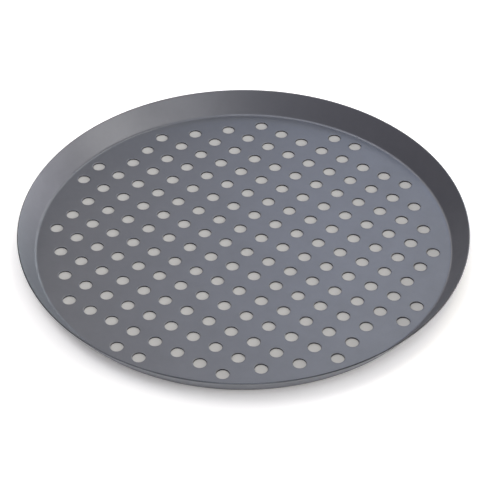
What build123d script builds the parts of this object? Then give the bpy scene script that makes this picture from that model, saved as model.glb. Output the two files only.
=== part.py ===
from build123d import *

from math import ceil, cos, radians, sin, tan
import os

# A perforated pizza pan: one disc of aluminium sheet, punched with holes on a square
# lattice and pressed into a flat base with a low flared wall. The rim is the sheet's own
# cut edge with its burrs broken off. There is no bead, handle, rivet or foot.
# Sizes are in millimetres and angles in degrees. The origin is the centre of the base's
# underside, +Z is up, and the rows of holes run along X and Y.

# Pan, with its diameter and height taken to the rim's sharp corners
rim_diameter = 332.0
pan_height = 18.0
sheet = 1.0
wall_slope = 56.0
bend_radius = 2.5
edge_break = 0.25

# Holes: their lattice, the flats that stand for each round hole's edge so that the model
# stays light, and the least plain sheet between a hole and the bend
hole_diameter = 9.4
hole_flats = 10
hole_pitch = 19.0
hole_border = 3.5

# How far a punch stands out of the sheet at each end
overrun = 2.0


def corner_radius(lift):
    """Radius where the wall and the base would meet with no bend, lift above the underside."""
    slope = radians(wall_slope)
    wall_run = (pan_height - sheet * cos(slope)) / tan(slope)
    return rim_diameter / 2 - wall_run - lift * tan(slope / 2)


def flat_radius():
    """Radius of the flat base, out to the start of the bend."""
    bend_run = (bend_radius + sheet) * tan(radians(wall_slope) / 2)
    return corner_radius(0) - bend_run


def section_line(lift):
    """The section of the sheet along one level of its thickness: base, bend and wall."""
    slope = radians(wall_slope)
    rim_radius = rim_diameter / 2 - lift * sin(slope)
    rim_height = pan_height - (sheet - lift) * cos(slope)
    return FilletPolyline(
        (0, lift),
        (corner_radius(lift), lift),
        (rim_radius, rim_height),
        radius=bend_radius + sheet - lift,
    )


def sheet_section():
    """Half the pan's section: underside, cut edge and inside, with the edge's burrs broken."""
    underside = section_line(0)
    inside = section_line(sheet)
    cut_edge = Line(underside @ 1, inside @ 1)
    middle = Line(inside @ 0, underside @ 0)
    section = make_face([underside, cut_edge, inside, middle])
    edge_corners = section.vertices().sort_by(Axis.Y)[-2:]
    return chamfer(edge_corners, length=edge_break)


def pressed_pan():
    """The pan as it would leave the press from a blank with no holes."""
    return revolve(Plane.XZ * sheet_section(), axis=Axis.Z)


def hole_places():
    """Centres of the holes: the lattice points that the flat base has room for.

    The count of rows is even, so the pan's centre lies midway between four holes.
    """
    field_radius = flat_radius() - hole_border - hole_diameter / 2
    rows = 2 * ceil(field_radius / hole_pitch)
    lattice = GridLocations(hole_pitch, hole_pitch, rows, rows)
    return [place for place in lattice if place.position.length <= field_radius]


def punches():
    """A punch at every hole, its flats touching the round hole that it stands for."""
    outline = RegularPolygon(hole_diameter / 2, hole_flats, major_radius=False)
    punch = extrude(Pos(0, 0, -overrun) * outline, amount=sheet + 2 * overrun)
    return [place * punch for place in hole_places()]


def perforated_pan():
    """The whole pan."""
    return pressed_pan() - punches()


os.makedirs("parts", exist_ok=True)
pan = perforated_pan()
pan.label = "perforated_pan"
export_step(pan, "parts/perforated_pan.step")
print("holes:", len(hole_places()))
print("flat base, mm across:", round(2 * flat_radius(), 2))
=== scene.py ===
import math

import bmesh
import bpy
from bpy.props import FloatProperty, FloatVectorProperty, IntProperty, PointerProperty
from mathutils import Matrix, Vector


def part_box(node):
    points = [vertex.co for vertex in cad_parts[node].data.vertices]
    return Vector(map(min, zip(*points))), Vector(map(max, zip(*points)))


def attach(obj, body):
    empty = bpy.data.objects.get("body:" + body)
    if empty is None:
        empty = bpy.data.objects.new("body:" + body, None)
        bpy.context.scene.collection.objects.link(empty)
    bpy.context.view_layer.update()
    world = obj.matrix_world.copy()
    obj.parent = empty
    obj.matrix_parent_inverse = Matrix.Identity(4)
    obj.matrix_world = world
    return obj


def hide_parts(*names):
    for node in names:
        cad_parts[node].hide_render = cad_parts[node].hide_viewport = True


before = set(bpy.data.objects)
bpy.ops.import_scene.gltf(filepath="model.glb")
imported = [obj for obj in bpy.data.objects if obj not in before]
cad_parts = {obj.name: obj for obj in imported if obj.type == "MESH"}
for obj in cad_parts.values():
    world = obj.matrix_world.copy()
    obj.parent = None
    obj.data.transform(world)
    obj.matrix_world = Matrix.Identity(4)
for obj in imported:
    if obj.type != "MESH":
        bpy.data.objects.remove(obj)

bl_info = {
    "name": "Perforated Pizza Pan",
    "version": (1, 0, 0),
    "blender": (4, 5, 0),
    "location": "View3D > Sidebar > Pizza Pan",
    "description": "Models a perforated pizza pan of hard anodised aluminium on a studio floor",
    "category": "Object",
}

# Lengths are in metres. The pan stands on the XY plane with its centre over the origin, and
# its rows of holes run along X and Y.
MM = 0.001
QUARTER_TURN = math.pi / 2

# The pan's node in the imported model, the body that it has there, and the highest corner
# of its box
PAN_NODE = "perforated_pan"
PAN_BODY = "root"
PAN_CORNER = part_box(PAN_NODE)[1]
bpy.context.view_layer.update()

# Lamps: name, azimuth and elevation as seen from the pan, angle that the lamp fills from
# there, colour and strength in watts per square metre. Angles are in degrees, and azimuth
# runs from +X to +Y. The photograph's camera stands at azimuth -56.
LAMPS = (
    ("right_low_lamp", 14, 18, 24, "#fffaf0", 0.690),
    ("right_far_low_lamp", 64, 8, 38, "#fffaf9", 0.970),
    ("back_right_strip", 94, 3, 24, "#f6fffd", 0.680),
    ("back_right_high_lamp", 94, 50, 24, "#fff1bc", 0.410),
    ("back_left_low_lamp", 154, 18, 24, "#fff6ec", 0.311),
    ("left_high_lamp", 184, 50, 24, "#fff8ea", 0.300),
    ("top_left_lamp", 214, 65, 24, "#f9faff", 0.460),
    ("top_front_lamp", 304, 65, 24, "#f9fdff", 0.468),
    ("front_right_low_lamp", 334, 18, 24, "#fffbf4", 0.489),
)

# Round soft boxes near the pan: name, azimuth, elevation, colour and power in watts
BOX_DISTANCE = 1.0
BOX_WIDTH = 0.5
SOFT_BOXES = (
    ("back_right_box", 109, 45, "#bfd5ff", 1.14),
)

# The floor's side, how far it lies below the pan so that the two don't touch, and how far the
# camera sees. Its sensor's width is in millimetres.
FLOOR_SIZE = 12.0
FLOOR_DROP = 0.1 * MM
CAMERA_REACH = 20.0
SENSOR_WIDTH = 36

# Loops beside a bend or an edge, which keep the shading of the flat faces flat
EDGE_LOOP = 0.8 * MM
HOLE_LOOP = 0.5 * MM

# Faces along each round of the section: the bend, the rim's corners and a hole's roll-over.
# Edges that turn by less than the smooth angle, in degrees, are shaded smooth.
BEND_STEPS = 8
ROUND_STEPS = 3
ROLL_STEPS = 1
SMOOTH_ANGLE = 46

# Points nearer to each other than the gap are merged, and points nearer to a level than the
# slack lie on it
MERGE_GAP = 0.001 * MM
LEVEL_SLACK = 0.01 * MM

# Face attributes that the finish reads: 1 on the sheared walls of the holes, and 1 on the
# rim's edge, which was sheared and then deburred. The finish darkens both with painted shade.
# A hole's wall is known by its normal, which rises by less than the limit here. The rim's edge
# lies no further in from the pan's widest circle than this share of the sheet's thickness.
CUT_FACE = "cut_face"
RIM_FACE = "rim_face"
CUT_NORMAL_RISE = 0.1
RIM_EDGE_SHARE = 0.95

# The finish's patterns. Clouds in the anodic layer are a few centimetres across, and break up
# down to half a millimetre. The grain that the rolling mill leaves runs along X in lines
# about 0.05 mm wide, and the etch's pits are about 0.03 mm. Both are too fine to show in the
# render, and are drawn as coarse as here.
CLOUD_SIZE = 36 * MM
GRAIN_WIDTH = 0.5 * MM
GRAIN_LENGTH = 11 * MM
GRAIN_DEPTH = 0.007 * MM
PIT_SIZE = 0.7 * MM
PIT_DEPTH = 0.009 * MM

# Sockets by number, because those of a Math node share a name, and so do a Mix node's for
# numbers and for colours
FIRST, SECOND = 0, 1
FACTOR = 0
NUMBER_A, NUMBER_B, NUMBER_OUT = 2, 3, 0
COLOUR_A, COLOUR_B, COLOUR_OUT = 6, 7, 2


def srgb(hex_colour):
    """The linear colour of an sRGB hex value such as "#70737a"."""
    channels = [int(hex_colour[i:i + 2], 16) / 255 for i in (1, 3, 5)]
    return tuple(c / 12.92 if c <= 0.04045 else ((c + 0.055) / 1.055) ** 2.4 for c in channels)


class PizzaPanSizes(bpy.types.PropertyGroup):
    """Sizes of the pan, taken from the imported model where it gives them."""

    rim_radius: FloatProperty(
        name="Rim radius",
        description="Radius of the rim at its widest",
        default=PAN_CORNER.x,
        unit="LENGTH",
    )
    height: FloatProperty(
        name="Height",
        description="Height of the rim above the surface that the pan stands on",
        default=PAN_CORNER.z,
        unit="LENGTH",
    )
    sheet: FloatProperty(
        name="Sheet",
        description="Thickness of the aluminium sheet",
        default=1.0 * MM,
        unit="LENGTH",
    )
    wall_slope: FloatProperty(
        name="Wall slope",
        description="Angle between the flared wall and the base",
        default=math.radians(56),
        subtype="ANGLE",
    )
    bend_radius: FloatProperty(
        name="Bend radius",
        description="Inside radius of the bend between base and wall",
        default=2.5 * MM,
        unit="LENGTH",
    )
    rim_round: FloatProperty(
        name="Rim rounding",
        description="Radius that deburring leaves on both corners of the cut edge",
        default=0.3 * MM,
        unit="LENGTH",
    )
    hole_radius: FloatProperty(
        name="Hole radius",
        description="Radius of each vent hole",
        default=4.7 * MM,
        unit="LENGTH",
    )
    hole_pitch: FloatProperty(
        name="Hole pitch",
        description="Distance between neighbouring holes of a row",
        default=19.0 * MM,
        unit="LENGTH",
    )
    field_radius: FloatProperty(
        name="Field radius",
        description="Largest distance of a hole's centre from the pan's centre",
        default=144.1 * MM,
        unit="LENGTH",
    )
    roll_over: FloatProperty(
        name="Roll-over",
        description="Radius that the punch leaves on the edge it enters by",
        default=0.3 * MM,
        unit="LENGTH",
    )
    turns: IntProperty(
        name="Steps round the pan",
        description="Faces round the wall",
        default=288,
        min=32,
    )
    hole_turns: IntProperty(
        name="Steps round a hole",
        description="Faces round each hole",
        default=20,
        min=8,
    )


class PizzaPanFinish(bpy.types.PropertyGroup):
    """Finish of the hard anodised sheet."""

    layer_colour: FloatVectorProperty(
        name="Layer colour",
        description="Colour of the anodic layer",
        default=srgb("#85888f"),
        subtype="COLOR",
        min=0,
        max=1,
    )
    cloud_colour: FloatVectorProperty(
        name="Cloud colour",
        description="Colour of the layer where it grew a little thicker",
        default=srgb("#777a81"),
        subtype="COLOR",
        min=0,
        max=1,
    )
    # Painted shade: this dark colour on the holes' walls stands in for the shade inside each hole.
    hole_wall_shade_colour: FloatVectorProperty(
        name="Cut face colour",
        description="Colour of the layer on the sheared walls of the holes",
        default=srgb("#202124"),
        subtype="COLOR",
        min=0,
        max=1,
    )
    roughness: FloatProperty(
        name="Roughness",
        description="Roughness of the layer on the faces of the sheet",
        default=0.50,
        subtype="FACTOR",
        min=0,
        max=1,
    )
    roughness_spread: FloatProperty(
        name="Roughness spread",
        description="How far the roughness goes up and down with the clouds",
        default=0.03,
        subtype="FACTOR",
        min=0,
        max=0.2,
    )
    cut_roughness: FloatProperty(
        name="Cut face roughness",
        description="Roughness of the layer on the sheared walls of the holes",
        default=0.55,
        subtype="FACTOR",
        min=0,
        max=1,
    )
    # Painted shade: this dark colour on the rim's edge stands in for the dark outline that the
    # lighting gives it.
    rim_shade_colour: FloatVectorProperty(
        name="Rim colour",
        description="Colour of the layer on the rim's edge",
        default=srgb("#585b60"),
        subtype="COLOR",
        min=0,
        max=1,
    )
    rim_roughness: FloatProperty(
        name="Rim roughness",
        description="Roughness of the layer on the rim's edge, which deburring made smoother",
        default=0.28,
        subtype="FACTOR",
        min=0,
        max=1,
    )


class PizzaPanStage(bpy.types.PropertyGroup):
    """Floor, lamps and camera."""

    floor_colour: FloatVectorProperty(
        name="Floor colour",
        description="Colour of the plain floor",
        default=srgb("#f9f9f9"),
        subtype="COLOR",
        min=0,
        max=1,
    )
    # Painted shade: the floor under the pan is greyer, for the shade that the pan casts over it.
    under_pan_shade_colour: FloatVectorProperty(
        name="Colour under the pan",
        description="Colour of the floor that shows through the holes",
        default=srgb("#c4c5c4"),
        subtype="COLOR",
        min=0,
        max=1,
    )
    under_radius: FloatProperty(
        name="Radius under the pan",
        description="Radius of the floor that only the holes show",
        default=150 * MM,
        unit="LENGTH",
    )
    floor_glow: FloatProperty(
        name="Floor glow",
        description="How much brighter than its lighting the floor is to the camera and the metal",
        default=0.60,
        subtype="FACTOR",
        min=0,
        max=1,
    )
    lamp_level: FloatProperty(
        name="Lamp level",
        description="Factor on the strength of every lamp",
        default=1.0,
        min=0,
    )
    surround_colour: FloatVectorProperty(
        name="Surround colour",
        description="Colour of the dim studio around the lamps",
        default=srgb("#8e888c"),
        subtype="COLOR",
        min=0,
        max=1,
    )
    camera_place: FloatVectorProperty(
        name="Camera place",
        description="Where the camera stands",
        default=(0.5572, -0.8174, 0.8566),
        unit="LENGTH",
    )
    camera_target: FloatVectorProperty(
        name="Camera target",
        description="Point at the middle of the picture",
        default=(0.00995, -0.00625, 0.0005),
        unit="LENGTH",
    )
    lens: FloatProperty(
        name="Lens",
        description="Focal length of the camera",
        default=127.0,
        unit="CAMERA",
    )


class SectionPen:
    """Draws a section in the XZ plane as an edge chain, by extruding and spinning one vertex."""

    def __init__(self, name, x, z, heading):
        bpy.ops.object.select_all(action="DESELECT")
        bpy.ops.mesh.primitive_plane_add(size=MM, location=(0, 0, 0))
        self.object = bpy.context.object
        self.object.name = name
        self.object.data.name = name
        bpy.ops.object.mode_set(mode="EDIT")
        bpy.ops.mesh.merge(type="CENTER")
        bpy.ops.transform.translate(value=(x, 0, z))
        self.x, self.z, self.heading = x, z, heading

    def line(self, length):
        """A straight run in the direction of travel."""
        step_x = length * math.cos(self.heading)
        step_z = length * math.sin(self.heading)
        bpy.ops.mesh.extrude_region_move(TRANSFORM_OT_translate={"value": (step_x, 0, step_z)})
        self.x += step_x
        self.z += step_z

    def arc(self, radius, turn, steps):
        """A tangent arc that turns the direction of travel, anticlockwise where turn is positive."""
        side = math.copysign(QUARTER_TURN, turn)
        centre_x = self.x + radius * math.cos(self.heading + side)
        centre_z = self.z + radius * math.sin(self.heading + side)
        bpy.ops.mesh.spin(
            steps=steps, angle=turn, center=(centre_x, 0, centre_z), axis=(0, 1, 0)
        )
        self.heading += turn
        self.x = centre_x - radius * math.cos(self.heading + side)
        self.z = centre_z - radius * math.sin(self.heading + side)

    def turn_about_z(self, steps):
        """Turns the finished section a full circle about Z, and closes the seam."""
        bpy.ops.mesh.select_all(action="SELECT")
        bpy.ops.mesh.spin(steps=steps, angle=math.tau, center=(0, 0, 0), axis=(0, 0, 1))
        bpy.ops.mesh.select_all(action="SELECT")
        bpy.ops.mesh.remove_doubles(threshold=MERGE_GAP)
        bpy.ops.object.mode_set(mode="OBJECT")
        return self.object


def select_where(kind, test):
    """In edit mode, selects the mesh's edges or faces for which test says yes, and no others."""
    bpy.ops.mesh.select_mode(type="EDGE" if kind == "edges" else "FACE")
    bpy.ops.mesh.select_all(action="DESELECT")
    mesh = bpy.context.object.data
    cage = bmesh.from_edit_mesh(mesh)
    for part in getattr(cage, kind):
        if test(part):
            part.select_set(True)
    bmesh.update_edit_mesh(mesh)


def hole_places(sizes):
    """Centres of the holes: an even count of rows each way, cut off at the field's radius."""
    half_rows = math.ceil(sizes.field_radius / sizes.hole_pitch)
    steps = [(i + 0.5) * sizes.hole_pitch for i in range(-half_rows, half_rows)]
    return [(x, y) for x in steps for y in steps if math.hypot(x, y) <= sizes.field_radius]


def flared_wall(sizes):
    """The pan from the rim of its flat base outwards: bend, wall and cut edge, both faces."""
    slope = sizes.wall_slope
    rounding = sizes.rim_round
    outer_bend = sizes.bend_radius + sizes.sheet
    overshoot = rounding * (math.sin(slope) + math.cos(slope) - 1)
    corner_x = sizes.rim_radius + overshoot
    corner_z = sizes.height + overshoot - sizes.sheet * math.cos(slope)
    wall_length = corner_z / math.sin(slope)
    bend_run = outer_bend * math.tan(slope / 2)
    flat_radius = corner_x - wall_length * math.cos(slope) - bend_run
    straight = wall_length - bend_run - rounding

    pen = SectionPen("anodised_pan", flat_radius - EDGE_LOOP, sizes.sheet, 0)
    pen.line(EDGE_LOOP)
    pen.arc(sizes.bend_radius, slope, BEND_STEPS)
    for run in (EDGE_LOOP, straight - 2 * EDGE_LOOP, EDGE_LOOP):
        pen.line(run)
    pen.arc(rounding, -QUARTER_TURN, ROUND_STEPS)
    pen.line(sizes.sheet - 2 * rounding)
    pen.arc(rounding, -QUARTER_TURN, ROUND_STEPS)
    for run in (EDGE_LOOP, straight - 2 * EDGE_LOOP, EDGE_LOOP):
        pen.line(run)
    pen.arc(outer_bend, -slope, BEND_STEPS)
    pen.line(EDGE_LOOP)
    return pen.turn_about_z(sizes.turns)


def punched_hole(sizes):
    """One hole's edge at the origin: rolled over where the punch went in, sharp where it left."""
    start = sizes.hole_radius + sizes.roll_over + HOLE_LOOP
    pen = SectionPen("punched_hole", start, sizes.sheet, math.pi)
    pen.line(HOLE_LOOP)
    pen.arc(sizes.roll_over, QUARTER_TURN, ROLL_STEPS)
    pen.line(sizes.sheet - sizes.roll_over)
    return pen.turn_about_z(sizes.hole_turns)


def copies_at(piece, places):
    """Copies of the piece, each with its own mesh, moved from the origin to the places."""
    copies = []
    for x, y in places:
        copy = piece.copy()
        copy.data = piece.data.copy()
        copy.location = (x, y, 0)
        bpy.context.collection.objects.link(copy)
        copies.append(copy)
    return copies


def close_flat_face(level):
    """Fills the flat face of the base at that level, between the wall and the holes."""
    def on_open_edge(edge):
        return edge.is_boundary and all(abs(v.co.z - level) < LEVEL_SLACK for v in edge.verts)

    select_where("edges", on_open_edge)
    if bpy.ops.mesh.fill(use_beauty=True) != {"FINISHED"}:
        raise RuntimeError("the base's flat face could not be filled")


def mark_faces(name, test):
    """In edit mode, adds a face attribute that is 1 where test says yes, and 0 elsewhere."""
    bpy.ops.geometry.attribute_add(name=name, domain="FACE", data_type="FLOAT")
    select_where("faces", test)
    bpy.ops.mesh.attribute_set(value_float=1)


def mark_sheared_faces(sizes):
    """Marks the holes' walls and the rim's edge, where the finish is another one."""
    rim_start = sizes.rim_radius - RIM_EDGE_SHARE * sizes.sheet

    def in_hole(face):
        return abs(face.normal.z) < CUT_NORMAL_RISE

    def at_rim(face):
        return min(v.co.xy.length for v in face.verts) > rim_start

    mark_faces(CUT_FACE, in_hole)
    mark_faces(RIM_FACE, at_rim)


def joined_pan(sizes):
    """The flared wall and the edges of all the holes in one mesh, with no flat base between."""
    hole = punched_hole(sizes)
    holes = copies_at(hole, hole_places(sizes))
    bpy.data.objects.remove(hole)
    pan = flared_wall(sizes)
    bpy.ops.object.select_all(action="DESELECT")
    for piece in (pan, *holes):
        piece.select_set(True)
    bpy.context.view_layer.objects.active = pan
    bpy.ops.object.join()
    return pan


class PIZZAPAN_OT_pan(bpy.types.Operator):
    """Model the perforated pan from one sheet and give it its anodised finish"""

    bl_idname = "pizza_pan.pan"
    bl_label = "Perforated Pan"

    def execute(self, context):
        sizes = context.scene.pizza_pan_sizes
        pan = joined_pan(sizes)
        bpy.ops.object.mode_set(mode="EDIT")
        close_flat_face(sizes.sheet)
        close_flat_face(0)
        bpy.ops.mesh.select_all(action="SELECT")
        bpy.ops.mesh.normals_make_consistent(inside=False)
        mark_sheared_faces(sizes)
        bpy.ops.object.mode_set(mode="OBJECT")
        bpy.ops.object.shade_smooth_by_angle(angle=math.radians(SMOOTH_ANGLE))
        pan.data.materials.append(anodised_aluminium(context.scene.pizza_pan_finish))
        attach(pan, PAN_BODY)
        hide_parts(PAN_NODE)
        return {"FINISHED"}


def add_node(tree, kind, settings=(), sockets=(), links=()):
    """Adds a node, with its settings, its socket values and the sockets that feed it."""
    node = tree.nodes.new(kind)
    for name, value in dict(settings).items():
        setattr(node, name, value)
    for name, value in dict(sockets).items():
        node.inputs[name].default_value = value
    for name, source in dict(links).items():
        tree.links.new(source, node.inputs[name])
    return node


def new_material(name):
    """An empty node material and its tree."""
    material = bpy.data.materials.new(name)
    material.use_nodes = True
    material.node_tree.nodes.clear()
    return material, material.node_tree


def anodised_aluminium(finish):
    """Aluminium sheet, rolled, etched matt, punched, pressed and then hard anodised.

    To the eye it is a dark satin metal with a faint blue cast. Its reflections spread wide and
    have no edge. The layer clouds faintly where it grew thicker, and a fine grain runs along
    the sheet's rolling direction. The sheared hole walls are duller and the deburred rim is
    glossier; both are darker with painted shade, for the shade in the holes and the rim's dark
    outline.
    """
    material, tree = new_material("hard_anodised_aluminium")
    place = add_node(tree, "ShaderNodeTexCoord").outputs["Object"]
    clouds = add_node(tree, "ShaderNodeTexNoise", sockets={
        "Scale": 1 / CLOUD_SIZE,
        "Detail": 6,
        "Roughness": 0.75,
    }, links={"Vector": place}).outputs["Fac"]
    along_grain = add_node(tree, "ShaderNodeMapping", sockets={
        "Scale": (1 / GRAIN_LENGTH, 1 / GRAIN_WIDTH, 1 / GRAIN_WIDTH),
    }, links={"Vector": place}).outputs[0]
    grain = add_node(tree, "ShaderNodeTexNoise", sockets={
        "Scale": 1,
        "Detail": 1,
    }, links={"Vector": along_grain}).outputs["Fac"]
    pits = add_node(tree, "ShaderNodeTexNoise", sockets={
        "Scale": 1 / PIT_SIZE,
        "Detail": 1,
    }, links={"Vector": place}).outputs["Fac"]
    is_cut = add_node(tree, "ShaderNodeAttribute", {"attribute_name": CUT_FACE}).outputs["Fac"]
    is_rim = add_node(tree, "ShaderNodeAttribute", {"attribute_name": RIM_FACE}).outputs["Fac"]

    clouded = add_node(tree, "ShaderNodeMix", {"data_type": "RGBA"}, {
        COLOUR_A: (*finish.layer_colour, 1),
        COLOUR_B: (*finish.cloud_colour, 1),
    }, {FACTOR: clouds}).outputs[COLOUR_OUT]
    # Painted shade: the holes' walls are darkened for the shade inside the holes.
    hole_shaded_colour = add_node(tree, "ShaderNodeMix", {"data_type": "RGBA"}, {
        COLOUR_B: (*finish.hole_wall_shade_colour, 1),
    }, {FACTOR: is_cut, COLOUR_A: clouded}).outputs[COLOUR_OUT]
    # Painted shade: the rim's edge is darkened for its dark outline.
    colour = add_node(tree, "ShaderNodeMix", {"data_type": "RGBA"}, {
        COLOUR_B: (*finish.rim_shade_colour, 1),
    }, {FACTOR: is_rim, COLOUR_A: hole_shaded_colour}).outputs[COLOUR_OUT]
    clouded_roughness = add_node(tree, "ShaderNodeMix", sockets={
        NUMBER_A: finish.roughness - finish.roughness_spread,
        NUMBER_B: finish.roughness + finish.roughness_spread,
    }, links={FACTOR: clouds}).outputs[NUMBER_OUT]
    sheet_roughness = add_node(tree, "ShaderNodeMix", sockets={
        NUMBER_B: finish.cut_roughness,
    }, links={FACTOR: is_cut, NUMBER_A: clouded_roughness}).outputs[NUMBER_OUT]
    roughness = add_node(tree, "ShaderNodeMix", sockets={
        NUMBER_B: finish.rim_roughness,
    }, links={FACTOR: is_rim, NUMBER_A: sheet_roughness}).outputs[NUMBER_OUT]
    pitted = add_node(tree, "ShaderNodeBump", sockets={
        "Strength": 1,
        "Distance": PIT_DEPTH,
    }, links={"Height": pits}).outputs[0]
    grained = add_node(tree, "ShaderNodeBump", sockets={
        "Strength": 1,
        "Distance": GRAIN_DEPTH,
    }, links={"Height": grain, "Normal": pitted}).outputs[0]
    surface = add_node(tree, "ShaderNodeBsdfPrincipled", sockets={
        "Metallic": 1,
    }, links={"Base Color": colour, "Roughness": roughness, "Normal": grained}).outputs[0]
    add_node(tree, "ShaderNodeOutputMaterial", links={"Surface": surface})
    return material


def floor_material(stage):
    """The floor: white, with the pan's shadow kept, and greyer where only the holes show it.

    A glow makes it white to the camera and in the metal, and lights nothing else. The pan
    shades the glow as it would the light of a white studio. Under the pan the floor's colour
    is greyer as painted shade.
    """
    material, tree = new_material("studio_floor")
    place = add_node(tree, "ShaderNodeTexCoord").outputs["Object"]
    from_middle = add_node(tree, "ShaderNodeVectorMath", {"operation": "LENGTH"}, links={
        FIRST: place,
    }).outputs["Value"]
    outside = add_node(tree, "ShaderNodeMath", {"operation": "GREATER_THAN"}, {
        SECOND: stage.under_radius,
    }, {FIRST: from_middle}).outputs[0]
    # Painted shade: the floor is greyer within the radius under the pan.
    colour = add_node(tree, "ShaderNodeMix", {"data_type": "RGBA"}, {
        COLOUR_A: (*stage.under_pan_shade_colour, 1),
        COLOUR_B: (*stage.floor_colour, 1),
    }, {FACTOR: outside}).outputs[COLOUR_OUT]
    surface = add_node(tree, "ShaderNodeBsdfDiffuse", links={"Color": colour}).outputs[0]

    ray = add_node(tree, "ShaderNodeLightPath").outputs
    seen = add_node(tree, "ShaderNodeMath", {"operation": "MAXIMUM"}, links={
        FIRST: ray["Is Camera Ray"],
        SECOND: ray["Is Glossy Ray"],
    }).outputs[0]
    seen_outside = add_node(tree, "ShaderNodeMath", {"operation": "MULTIPLY"}, links={
        FIRST: seen,
        SECOND: outside,
    }).outputs[0]
    strength = add_node(tree, "ShaderNodeMath", {"operation": "MULTIPLY"}, {
        SECOND: stage.floor_glow,
    }, {FIRST: seen_outside}).outputs[0]
    open_sky = add_node(tree, "ShaderNodeAmbientOcclusion").outputs["Color"]
    glow = add_node(tree, "ShaderNodeEmission", links={
        "Color": open_sky,
        "Strength": strength,
    }).outputs[0]
    both = add_node(tree, "ShaderNodeAddShader", links={
        FIRST: surface,
        SECOND: glow,
    }).outputs[0]
    add_node(tree, "ShaderNodeOutputMaterial", links={"Surface": both})
    return material


def studio_world(stage):
    """The studio around: white to the camera, and dim to the pan, as its reflections show."""
    world = bpy.data.worlds.new("studio_surround")
    world.use_nodes = True
    tree = world.node_tree
    tree.nodes.clear()
    seen = add_node(tree, "ShaderNodeLightPath").outputs["Is Camera Ray"]
    colour = add_node(tree, "ShaderNodeMix", {"data_type": "RGBA"}, {
        COLOUR_A: (*stage.surround_colour, 1),
        COLOUR_B: (1, 1, 1, 1),
    }, {FACTOR: seen}).outputs[COLOUR_OUT]
    background = add_node(tree, "ShaderNodeBackground", links={"Color": colour}).outputs[0]
    add_node(tree, "ShaderNodeOutputWorld", links={"Surface": background})
    return world


def toward(azimuth, elevation):
    """The direction from the pan at that azimuth and elevation, in degrees."""
    azimuth, elevation = math.radians(azimuth), math.radians(elevation)
    return Vector((
        math.cos(elevation) * math.cos(azimuth),
        math.cos(elevation) * math.sin(azimuth),
        math.sin(elevation),
    ))


def add_lamp(kind, name, place, colour, energy):
    """A lamp that stands at the place, or that way far off, and shines on the pan."""
    bpy.ops.object.light_add(type=kind, location=place)
    lamp = bpy.context.object
    lamp.name = name
    lamp.rotation_euler = (-place).to_track_quat("-Z", "Y").to_euler()
    lamp.data.color = srgb(colour)
    lamp.data.energy = energy
    return lamp.data


def add_lamps(stage):
    """All the lamps: the soft ones far away, and the soft boxes near by."""
    for name, azimuth, elevation, fills, colour, strength in LAMPS:
        place = toward(azimuth, elevation)
        lamp = add_lamp("SUN", name, place, colour, strength * stage.lamp_level)
        lamp.angle = math.radians(fills)
    for name, azimuth, elevation, colour, power in SOFT_BOXES:
        place = BOX_DISTANCE * toward(azimuth, elevation)
        box = add_lamp("AREA", name, place, colour, power * stage.lamp_level)
        box.shape = "DISK"
        box.size = BOX_WIDTH


class PIZZAPAN_OT_stage(bpy.types.Operator):
    """Set up the floor, the lamps and the camera"""

    bl_idname = "pizza_pan.stage"
    bl_label = "Studio Stage"

    def execute(self, context):
        stage = context.scene.pizza_pan_stage
        bpy.ops.object.select_all(action="DESELECT")
        bpy.ops.object.camera_add(location=stage.camera_place)
        camera = context.object
        camera.name = "photo_camera"
        camera.data.lens = stage.lens
        camera.data.sensor_width = SENSOR_WIDTH
        view = Vector(stage.camera_target) - Vector(stage.camera_place)
        camera.rotation_euler = view.to_track_quat("-Z", "Y").to_euler()
        camera.data.clip_end = CAMERA_REACH
        context.scene.camera = camera

        bpy.ops.mesh.primitive_plane_add(size=FLOOR_SIZE, location=(0, 0, -FLOOR_DROP))
        floor = context.object
        floor.name = "studio_floor"
        floor.data.materials.append(floor_material(stage))

        add_lamps(stage)
        context.scene.world = studio_world(stage)
        context.scene.view_settings.view_transform = "Standard"
        return {"FINISHED"}


class PIZZAPAN_PT_sidebar(bpy.types.Panel):
    """Lists the pan's and the stage's settings, each group above the operator that reads it"""

    bl_idname = "PIZZAPAN_PT_sidebar"
    bl_label = "Pizza Pan"
    bl_space_type = "VIEW_3D"
    bl_region_type = "UI"
    bl_category = "Pizza Pan"

    def draw(self, context):
        scene = context.scene
        for group, operator in (
            (scene.pizza_pan_sizes, None),
            (scene.pizza_pan_finish, PIZZAPAN_OT_pan),
            (scene.pizza_pan_stage, PIZZAPAN_OT_stage),
        ):
            box = self.layout.box()
            for name in type(group).__annotations__:
                box.prop(group, name)
            if operator:
                self.layout.operator(operator.bl_idname)


CLASSES = (
    PizzaPanSizes,
    PizzaPanFinish,
    PizzaPanStage,
    PIZZAPAN_OT_pan,
    PIZZAPAN_OT_stage,
    PIZZAPAN_PT_sidebar,
)


def register():
    """Registers the classes and gives the scene its settings."""
    for cls in CLASSES:
        bpy.utils.register_class(cls)
    bpy.types.Scene.pizza_pan_sizes = PointerProperty(type=PizzaPanSizes)
    bpy.types.Scene.pizza_pan_finish = PointerProperty(type=PizzaPanFinish)
    bpy.types.Scene.pizza_pan_stage = PointerProperty(type=PizzaPanStage)


def unregister():
    """Takes away what register gave."""
    del bpy.types.Scene.pizza_pan_stage
    del bpy.types.Scene.pizza_pan_finish
    del bpy.types.Scene.pizza_pan_sizes
    for cls in reversed(CLASSES):
        bpy.utils.unregister_class(cls)


def main():
    """Makes the stage and the pan."""
    register()
    bpy.ops.pizza_pan.stage()
    bpy.ops.pizza_pan.pan()


if __name__ == "__main__":
    main()
